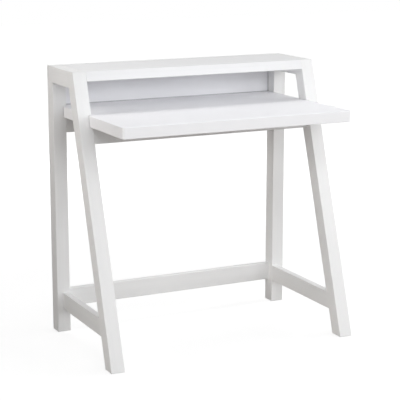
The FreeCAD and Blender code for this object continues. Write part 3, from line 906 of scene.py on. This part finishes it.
class DESK_OT_fit_glides(bpy.types.Operator):
    """Set the floor glides and their nails"""
    bl_idname = "desk.fit_glides"
    bl_label = "Fit Glides"

    def execute(self, context):
        settings = context.scene.desk_fittings
        plastic = moulded_plastic("glide_plastic")
        steel = metal("plated_steel_nails", settings.plated_colour, 0.36)
        set_fittings("glide_set", ("foot_glides",), glide_tree(), DOWN, plastic)
        set_fittings("glide_nail_set", ("glide_nails",), nail_tree(), DOWN, steel)
        return {"FINISHED"}


# Stage


SENSOR_WIDTH = 36.0
CLIP_END = 60.0

# The floor lets through rays that are shorter than this
FOOT_GAP = 0.006

# Light that the floor gives back to the desk, how much of the desk's shadow it shows, and its own glow,
# which rises from near the desk to far from it
FLOOR_BOUNCE = (0.376, 0.352, 0.328, 1.0)
FLOOR_SHADOW = (0.3, 0.3, 0.3, 1.0)
GLOW_NEAR = 0.78
GLOW_FROM = 0.9
GLOW_TO = 2.6

NEUTRAL = (1.0, 1.0, 1.0)
COOL = (0.97, 0.985, 1.0)
WARM = (1.0, 0.967, 0.935)

# What the lamps look at
DESK_LOW, DESK_HIGH = (Vector(corner) for corner in DESK_BOX)
MIDDLE = (DESK_LOW + DESK_HIGH) / 2
WORKTOP_SHARE = 0.85
WORKTOP_EDGE = (MIDDLE.x, DESK_LOW.y, WORKTOP_SHARE * DESK_HIGH.z)
LEFT_LEG = (DESK_LOW.x, -0.5, 0.4)
LEFT_CORNER = (DESK_LOW.x, 0.15, 0.92)

# A rectangular lamp: its place, what it looks at, its size and colour, the angle of its beam in degrees,
# and whether gloss shows it
Lamp = collections.namedtuple("Lamp", "place aim width height colour spread glossy",
                              defaults=(NEUTRAL, 180, True))
LAMPS = {
    "front": Lamp((-0.4, -3.2, 1.65), WORKTOP_EDGE, 2.6, 0.6, COOL),
    "key": Lamp((-0.9, -2.5, 2.6), WORKTOP_EDGE, 3.2, 0.45, COOL),
    "wide": Lamp((2.6, -3.9, 2.0), MIDDLE, 2.6, 2.4, COOL),
    "right": Lamp((4.4, -0.9, 1.6), MIDDLE, 2.6, 2.2),
    "high": Lamp((3.6, -1.2, 3.0), MIDDLE, 2.4, 2.2),
    "left": Lamp((-3.2, -0.6, 0.9), LEFT_LEG, 1.2, 1.0, WARM, 50),
    "rear": Lamp((0.6, 3.4, 0.7), MIDDLE, 2.4, 0.9, glossy=False),
    "top": Lamp((0.3, 0.9, 3.6), MIDDLE, 2.0, 1.4),
    "corner": Lamp((-1.6, 0.4, 1.6), LEFT_CORNER, 0.5, 0.4, WARM, 40),
}


def hang_lamp(name, power, lamp):
    """Rectangular light that looks at what its lamp is aimed at."""
    light = bpy.data.lights.new(name, "AREA")
    light.shape = "RECTANGLE"
    light.size = lamp.width
    light.size_y = lamp.height
    light.spread = math.radians(lamp.spread)
    light.energy = power
    light.color = lamp.colour
    box = bpy.data.objects.new(name, light)
    box.location = lamp.place
    box.rotation_euler = (Vector(lamp.aim) - Vector(lamp.place)).to_track_quat("-Z", "Y").to_euler()
    box.visible_camera = False
    box.visible_glossy = lamp.glossy
    bpy.context.scene.collection.objects.link(box)


def seen_light(wire):
    """One where a ray comes from the camera, a mirror or a glass, and nought elsewhere."""
    path = wire.add("ShaderNodeLightPath").outputs
    seen = wire.math("MAXIMUM", path["Is Camera Ray"], path["Is Glossy Ray"])
    return wire.math("MAXIMUM", seen, path["Is Transmission Ray"])


def room_light(strength):
    """Even world light that shows as white."""
    world = bpy.data.worlds.new("studio_room")
    world.use_nodes = True
    world.node_tree.nodes.clear()
    wire = Wiring(world.node_tree)
    level = wire.math("MULTIPLY_ADD", seen_light(wire), 1.0 - strength, strength)
    light = wire.add("ShaderNodeBackground", Color=(1.0, 1.0, 1.0, 1.0), Strength=level)
    wire.add("ShaderNodeOutputWorld", Surface=light.outputs[0])
    bpy.context.scene.world = world


def floor_material():
    """White floor that keeps a faint shadow round the desk; it can't be seen from below.

    Light reaches the undersides of the feet through it, so that they aren't black from below.
    """
    material = bpy.data.materials.new("studio_floor")
    material.use_nodes = True
    material.node_tree.nodes.clear()
    wire = Wiring(material.node_tree)
    place = wire.add("ShaderNodeTexCoord").outputs["Object"]
    away = wire.add("ShaderNodeVectorMath", {"operation": "LENGTH"})
    wire.feed(away.inputs[0], place)
    glow = wire.add("ShaderNodeMapRange", {"interpolation_type": "SMOOTHSTEP"}, Value=away.outputs["Value"],
                    From_Min=GLOW_FROM, From_Max=GLOW_TO, To_Min=GLOW_NEAR, To_Max=1.0).outputs["Result"]
    bounce = wire.add("ShaderNodeBsdfDiffuse", Color=FLOOR_BOUNCE).outputs[0]
    shadowed = wire.add("ShaderNodeBsdfDiffuse", Color=FLOOR_SHADOW).outputs[0]
    white = wire.add("ShaderNodeEmission", Color=(1.0, 1.0, 1.0, 1.0), Strength=glow).outputs[0]
    shown = wire.add("ShaderNodeAddShader")
    wire.feed(shown.inputs[0], shadowed)
    wire.feed(shown.inputs[1], white)
    pick = wire.add("ShaderNodeMixShader")
    wire.feed(pick.inputs[0], seen_light(wire))
    wire.feed(pick.inputs[1], bounce)
    wire.feed(pick.inputs[2], shown.outputs[0])
    from_below = wire.add("ShaderNodeNewGeometry").outputs["Backfacing"]
    close = wire.math("LESS_THAN", wire.add("ShaderNodeLightPath").outputs["Ray Length"], FOOT_GAP)
    whole = wire.add("ShaderNodeMixShader")
    wire.feed(whole.inputs[0], wire.math("MAXIMUM", from_below, close))
    wire.feed(whole.inputs[1], pick.outputs[0])
    wire.feed(whole.inputs[2], wire.add("ShaderNodeBsdfTransparent").outputs[0])
    wire.add("ShaderNodeOutputMaterial", Surface=whole.outputs[0])
    return material


def lay_floor(reach):
    """Square floor under the desk's feet."""
    mesh = bpy.data.meshes.new("studio_floor")
    corners = [(-reach, -reach, 0.0), (reach, -reach, 0.0), (reach, reach, 0.0), (-reach, reach, 0.0)]
    mesh.from_pydata(corners, [], [(0, 1, 2, 3)])
    mesh.materials.append(floor_material())
    floor = bpy.data.objects.new("studio_floor", mesh)
    bpy.context.scene.collection.objects.link(floor)


def place_camera(settings):
    """Camera at the picture's viewing angle."""
    data = bpy.data.cameras.new("studio_camera")
    data.lens = settings.lens
    data.sensor_width = SENSOR_WIDTH
    data.clip_end = CLIP_END
    camera = bpy.data.objects.new("studio_camera", data)
    camera.location = settings.eye
    camera.rotation_euler = (math.pi / 2 - settings.dip, 0.0, -settings.heading)
    bpy.context.scene.collection.objects.link(camera)
    bpy.context.scene.camera = camera


class DESK_OT_set_stage(bpy.types.Operator):
    """Lay the floor and set the lights and the camera"""
    bl_idname = "desk.set_stage"
    bl_label = "Set Stage"

    def execute(self, context):
        settings = context.scene.desk_stage
        room_light(settings.ambient)
        lay_floor(settings.floor_reach)
        for name, lamp in LAMPS.items():
            hang_lamp(name + "_light", getattr(settings, name + "_power"), lamp)
        place_camera(settings)
        context.scene.view_settings.view_transform = "Standard"
        return {"FINISHED"}


class DESK_PT_sidebar(bpy.types.Panel):
    """Steps and settings of the desk"""
    bl_label = "Writing Desk"
    bl_idname = "DESK_PT_sidebar"
    bl_space_type = "VIEW_3D"
    bl_region_type = "UI"
    bl_category = "Desk"

    def draw(self, context):
        layout = self.layout
        for operator in PIECE_OPERATORS:
            layout.operator(operator.bl_idname)
        for group in (context.scene.desk_paint, context.scene.desk_fittings, context.scene.desk_stage):
            column = layout.column(align=True)
            for name in group.__annotations__:
                column.prop(group, name)


SETTINGS = {"desk_paint": DeskPaintSettings, "desk_fittings": DeskFittingSettings,
            "desk_stage": DeskStageSettings}
PIECE_OPERATORS = (DESK_OT_paint_side_frames, DESK_OT_paint_boards, DESK_OT_finish_dowels, DESK_OT_fit_cams,
                   DESK_OT_fit_screws, DESK_OT_fit_glides, DESK_OT_set_stage)
CLASSES = tuple(SETTINGS.values()) + PIECE_OPERATORS + (DESK_PT_sidebar,)


def register():
    """Adds the classes and the scene's settings."""
    for cls in CLASSES:
        bpy.utils.register_class(cls)
    for name, group in SETTINGS.items():
        setattr(bpy.types.Scene, name, PointerProperty(type=group))


def unregister():
    """Takes the settings and the classes away."""
    for name in SETTINGS:
        delattr(bpy.types.Scene, name)
    for cls in reversed(CLASSES):
        bpy.utils.unregister_class(cls)


def main():
    """Runs every step in order."""
    register()
    bpy.ops.desk.paint_side_frames()
    bpy.ops.desk.paint_boards()
    bpy.ops.desk.finish_dowels()
    bpy.ops.desk.fit_cams()
    bpy.ops.desk.fit_screws()
    bpy.ops.desk.fit_glides()
    bpy.ops.desk.set_stage()


if __name__ == "__main__":
    main()
